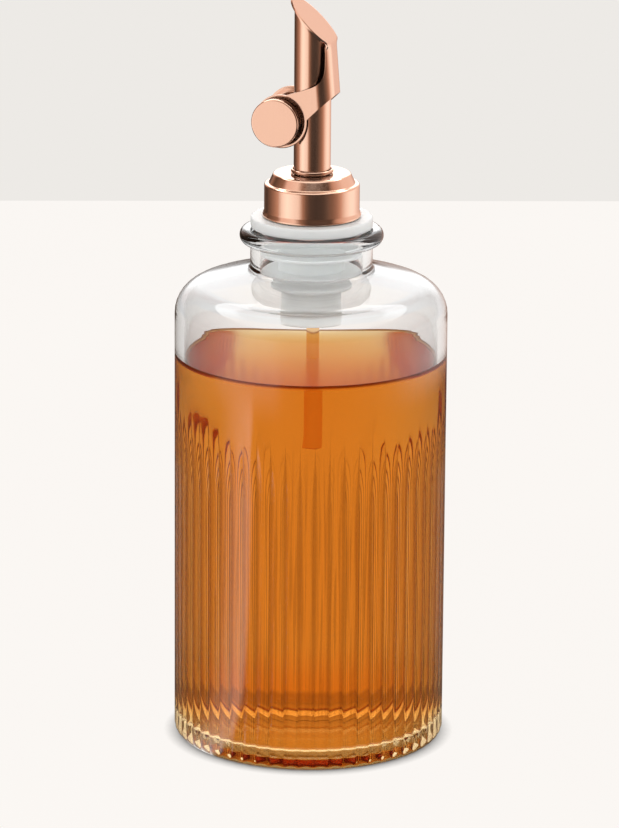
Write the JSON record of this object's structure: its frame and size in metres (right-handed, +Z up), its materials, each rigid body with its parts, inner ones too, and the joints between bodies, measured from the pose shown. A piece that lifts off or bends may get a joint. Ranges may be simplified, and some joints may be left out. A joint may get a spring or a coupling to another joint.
{
  "type": "flip lid dispenser bottle",
  "caption": "Clear ribbed glass oil bottle with a milky stopper, copper cap and slant-cut spout whose weighted flip lid opens as it is tilted to pour.",
  "frame": {"origin": "centre of the bottle's foot, on the plane it stands on", "axes": "+Z up along the bottle's axis; -X is the pouring side, where the spout's mouth is high and the counterweight hangs; the lid turns about +Y"},
  "size_m": [0.076, 0.076, 0.2112],
  "materials": {
    "clear_glass": "clear, polished, slightly wavy",
    "rose_copper": "rose copper plating, softly polished, fine upright brushing",
    "milky_plastic": "milky translucent, satin"
  },
  "bodies": {
    "bottle": {"glass_bottle": "clear_glass"},
    "pourer": {"stopper_plug": "milky_plastic", "cap_shell": "rose_copper", "spout_tube": "rose_copper", "spout_foot_ring": "rose_copper", "air_tube": "rose_copper", "air_tube_holder": "milky_plastic", "pivot_stud_front": "rose_copper", "pivot_stud_rear": "rose_copper"},
    "lid_lever": {"flip_lid": "rose_copper", "weight_knob_front": "rose_copper", "weight_knob_rear": "rose_copper", "weight_pin": "rose_copper"}
  },
  "joints": [
    {"name": "pourer_lift", "type": "slide", "parent": "bottle", "child": "pourer", "axis": [0, 0, 1], "range_m": [0, 0.07]},
    {"name": "lid_flip", "type": "hinge", "parent": "pourer", "child": "lid_lever", "pos_m": [0, 0, 0.1828], "axis": [0, 1, 0], "range_deg": [0, 55]}
  ]
}
